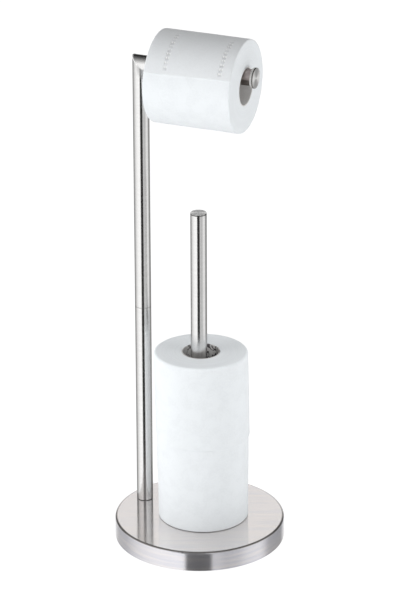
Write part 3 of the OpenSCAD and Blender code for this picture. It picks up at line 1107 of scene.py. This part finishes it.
def studio_world():
    """White behind the object, soft light all round, and a studio for the steel to show"""
    world = bpy.data.worlds.new("studio")
    bpy.context.scene.world = world
    world.use_nodes = True
    tree = world.node_tree
    tree.nodes.clear()
    way = add_node(tree, "ShaderNodeTexCoord").outputs["Generated"]
    x, y, z = split(tree, way)
    toward = x * TOWARD_VIEW[0] + y * TOWARD_VIEW[1]
    right = y * TOWARD_VIEW[0] - x * TOWARD_VIEW[1]
    around = right.step("ARCTAN2", toward) / FULL_TURN + 0.5
    ramp = add_node(tree, "ShaderNodeValToRGB", Fac=around)
    stops = ramp.color_ramp.elements
    while len(stops) > 1:
        stops.remove(stops[0])
    for i, (azimuth, value) in enumerate(STUDIO):
        stop = stops[0] if i == 0 else stops.new((azimuth + 180) / 360)
        stop.position = (azimuth + 180) / 360
        stop.color = (value, value, value, 1)

    # Darker towards the ceiling, and nearly dark behind the stand, above the floor. The dark
    # gap before the camera is less dark above and far below the camera's level
    falloff = (z * -0.98 + 1.14).step("MINIMUM", 1.0)
    front = (around - 0.5).step("ABSOLUTE").ramp(0.055, 0.043)
    beyond = z.ramp(-0.6, -0.8) + z.ramp(-0.15, 0.05)
    behind = (toward * -1).ramp(0.2, 0.6) * z.ramp(-0.05, 0.12)
    walls = (Wire(tree, ramp.outputs[0]) + front * beyond * 0.2) * falloff * (behind * -0.95 + 1)

    seen = add_node(tree, "ShaderNodeLightPath")
    glossy = Wire(tree, seen.outputs["Is Glossy Ray"])
    camera = Wire(tree, seen.outputs["Is Camera Ray"])
    plain = (camera + Wire(tree, seen.outputs["Is Transmission Ray"])).step("MINIMUM", 1.0)
    ambient = z.ramp(0.3, 0.9, AMBIENT, AMBIENT_TOP)
    strength = walls * glossy + glossy.opposite() * (plain + plain.opposite() * ambient)
    light = add_node(tree, "ShaderNodeBackground", Color=WHITE, Strength=strength)
    out = tree.nodes.new("ShaderNodeOutputWorld")
    give(tree, light.outputs[0], out.inputs[0])


def studio_card(name, middle, side, rise, strength):
    """A flat card that the camera doesn't see. Strength is how bright it is."""
    material = bpy.data.materials.new(name)
    material.use_nodes = True
    tree = material.node_tree
    tree.nodes.clear()
    glow = add_node(tree, "ShaderNodeEmission", Color=WHITE, Strength=strength)
    out = tree.nodes.new("ShaderNodeOutputMaterial")
    give(tree, glow.outputs[0], out.inputs[0])
    card = flat_piece(name, middle, side, rise, material)
    card.visible_camera = False
    card.visible_transmission = False
    return card


def back_card(away, half, top, strength):
    """A low white card behind the stand, which only the steel shows"""
    middle = Vector(TOWARD_VIEW) * -away + Vector((0, 0, top / 2))
    rise = Vector((0, 0, top / 2))
    card = studio_card("white_card", middle, RIGHT_OF_VIEW * half, rise, strength)
    card.visible_diffuse = False
    card.visible_shadow = False


def top_flag(height, half):
    """A black card that shades the hanging roll from above. The steel doesn't show it."""
    middle = Vector((arm_centre[0], arm_centre[1], height))
    card = studio_card("top_flag", middle, Vector((half, 0, 0)), Vector((0, half, 0)), 0.0)
    card.visible_glossy = False


def soft_lamp(name, azimuth, height, distance, size, power):
    """A square soft box that looks at the stand. Azimuth is from the camera towards the right."""
    turn = VIEW_TURNS[0] + math.radians(azimuth)
    place = Vector((math.sin(turn) * distance, -math.cos(turn) * distance, height))
    lamp = bpy.data.lights.new(name, "AREA")
    lamp.shape = "SQUARE"
    lamp.size = size
    lamp.energy = power
    thing = put(name, lamp)
    thing.location = place
    thing.rotation_mode = "QUATERNION"
    thing.rotation_quaternion = (LAMPS_AIM - place).to_track_quat("-Z", "Y")
    thing.visible_glossy = False


def set_camera():
    """The photograph's view: place, turn, tilt and lens were fitted to its edges"""
    yaw, pitch, roll = VIEW_TURNS
    ahead = Vector((-math.sin(yaw) * math.cos(pitch), math.cos(yaw) * math.cos(pitch),
                    math.sin(pitch)))
    level = ahead.cross(Vector((0, 0, 1))).normalized()
    above = level.cross(ahead)
    side = level * math.cos(roll) + above * math.sin(roll)
    up = above * math.cos(roll) - level * math.sin(roll)
    data = bpy.data.cameras.new("photo_view")
    data.sensor_width = 36.0
    data.lens = VIEW_PIXELS * data.sensor_width / VIEW_TALL
    camera = put("photo_view", data)
    turned = Matrix((side, up, -ahead)).transposed()
    camera.matrix_world = Matrix.Translation(VIEW_PLACE) @ turned.to_4x4()
    bpy.context.scene.camera = camera


lay_floor(half=40.0)
studio_world()
back_card(away=0.8, half=0.4, top=0.78, strength=0.94)
top_flag(height=0.85, half=0.14)
soft_lamp("key_light", azimuth=-66, height=0.85, distance=2.6, size=1.6, power=37.5)
soft_lamp("fill_light", azimuth=66, height=0.7, distance=2.8, size=1.4, power=25)
set_camera()
bpy.context.scene.view_settings.view_transform = "Standard"
